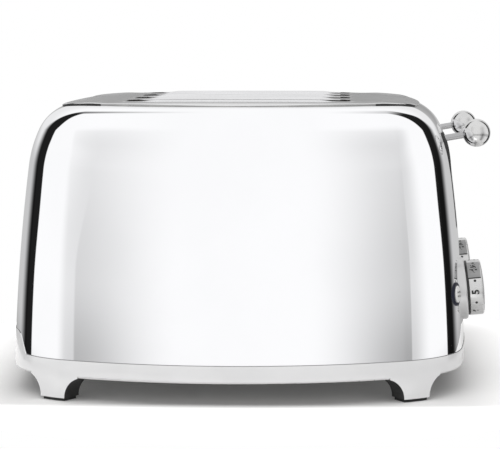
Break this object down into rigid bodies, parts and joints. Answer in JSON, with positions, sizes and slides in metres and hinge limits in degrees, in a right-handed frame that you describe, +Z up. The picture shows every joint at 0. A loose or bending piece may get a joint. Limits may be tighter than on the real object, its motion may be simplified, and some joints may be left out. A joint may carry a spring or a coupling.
{
  "type": "toaster",
  "caption": "Retro four-slot toaster in polished steel with two ball-ended levers, two browning dials, push buttons and crumb trays.",
  "frame": {"origin": "on the floor under the feet, below the middle of the overall box", "axes": "+X along the bread slots towards the levers and dials, +Y across the slots, +Z up"},
  "size_m": [0.349, 0.3728, 0.2067],
  "materials": {
    "polished_steel": "polished",
    "satin_steel": "satin",
    "grey_moulding": "gloss",
    "plain_steel": "plain",
    "black_rubber": "matte",
    "black_plastic": "matte",
    "white_plastic": "gloss",
    "blue_plastic": "gloss",
    "mica": "matte",
    "circuit_board": "matte",
    "iron_core": "plain"
  },
  "bodies": {
    "housing": {"base_skirt": "grey_moulding", "body_shell": "polished_steel", "bottom_cover": "plain_steel", "bottom_screws": "plain_steel", "button_rings": "blue_plastic", "button_switches": "black_plastic", "cord_gland": "black_plastic", "far_bread_guards": "plain_steel", "far_control_board": "circuit_board", "far_control_carrier": "black_plastic", "far_dial_bezel": "polished_steel", "far_guide_rod": "plain_steel", "far_heat_shield": "plain_steel", "far_heater_boards": "mica", "far_magnet": "iron_core", "far_timer_pot": "plain_steel", "lever_end_plate": "plain_steel", "near_bread_guards": "plain_steel", "near_control_board": "circuit_board", "near_control_carrier": "black_plastic", "near_dial_bezel": "polished_steel", "near_guide_rod": "plain_steel", "near_heat_shield": "plain_steel", "near_heater_boards": "mica", "near_magnet": "iron_core", "near_timer_pot": "plain_steel", "plain_end_plate": "plain_steel", "rubber_feet": "black_rubber", "terminal_block": "white_plastic", "top_plate": "polished_steel"},
    "near_lever": {"near_carriage": "plain_steel", "near_bread_racks": "plain_steel", "near_lever_rod": "polished_steel", "near_lever_ball": "polished_steel", "near_return_spring": "plain_steel"},
    "near_dial": {"near_dial_knob": "satin_steel", "near_dial_shaft": "plain_steel"},
    "near_tray": {"near_crumb_tray": "plain_steel", "near_tray_front": "grey_moulding"},
    "far_lever": {"far_carriage": "plain_steel", "far_bread_racks": "plain_steel", "far_lever_rod": "polished_steel", "far_lever_ball": "polished_steel", "far_return_spring": "plain_steel"},
    "far_dial": {"far_dial_knob": "satin_steel", "far_dial_shaft": "plain_steel"},
    "far_tray": {"far_crumb_tray": "plain_steel", "far_tray_front": "grey_moulding"},
    "near_outer_button": {"near_outer_button": "white_plastic"},
    "near_inner_button": {"near_inner_button": "white_plastic"},
    "far_inner_button": {"far_inner_button": "white_plastic"},
    "far_outer_button": {"far_outer_button": "white_plastic"}
  },
  "joints": [
    {"name": "near_lever_slide", "type": "slide", "parent": "housing", "child": "near_lever", "axis": [0, 0, -1], "range_m": [0, 0.062], "stiffness_N_per_m": 60, "springref_m": -0.05, "deforming": ["near_return_spring"]},
    {"name": "near_dial_turn", "type": "hinge", "parent": "housing", "child": "near_dial", "pos_m": [0.15744, -0.075, 0.0685], "axis": [0.9959, 0, 0.0906], "range_deg": [-160, 100]},
    {"name": "near_tray_slide", "type": "slide", "parent": "housing", "child": "near_tray", "axis": [-1, 0, 0], "range_m": [0, 0.2]},
    {"name": "far_lever_slide", "type": "slide", "parent": "housing", "child": "far_lever", "axis": [0, 0, -1], "range_m": [0, 0.062], "stiffness_N_per_m": 60, "springref_m": -0.05, "deforming": ["far_return_spring"]},
    {"name": "far_dial_turn", "type": "hinge", "parent": "housing", "child": "far_dial", "pos_m": [0.15744, 0.075, 0.0685], "axis": [0.9959, 0, 0.0906], "range_deg": [-160, 100]},
    {"name": "far_tray_slide", "type": "slide", "parent": "housing", "child": "far_tray", "axis": [-1, 0, 0], "range_m": [0, 0.2]},
    {"name": "near_outer_button_press", "type": "slide", "parent": "housing", "child": "near_outer_button", "axis": [-0.949, 0.3083, -0.0657], "range_m": [0, 0.0015], "stiffness_N_per_m": 800, "springref_m": -0.0012},
    {"name": "near_inner_button_press", "type": "slide", "parent": "housing", "child": "near_inner_button", "axis": [-0.997, 0.0399, -0.0657], "range_m": [0, 0.0015], "stiffness_N_per_m": 800, "springref_m": -0.0012},
    {"name": "far_inner_button_press", "type": "slide", "parent": "housing", "child": "far_inner_button", "axis": [-0.997, -0.0399, -0.0657], "range_m": [0, 0.0015], "stiffness_N_per_m": 800, "springref_m": -0.0012},
    {"name": "far_outer_button_press", "type": "slide", "parent": "housing", "child": "far_outer_button", "axis": [-0.949, -0.3083, -0.0657], "range_m": [0, 0.0015], "stiffness_N_per_m": 800, "springref_m": -0.0012}
  ]
}
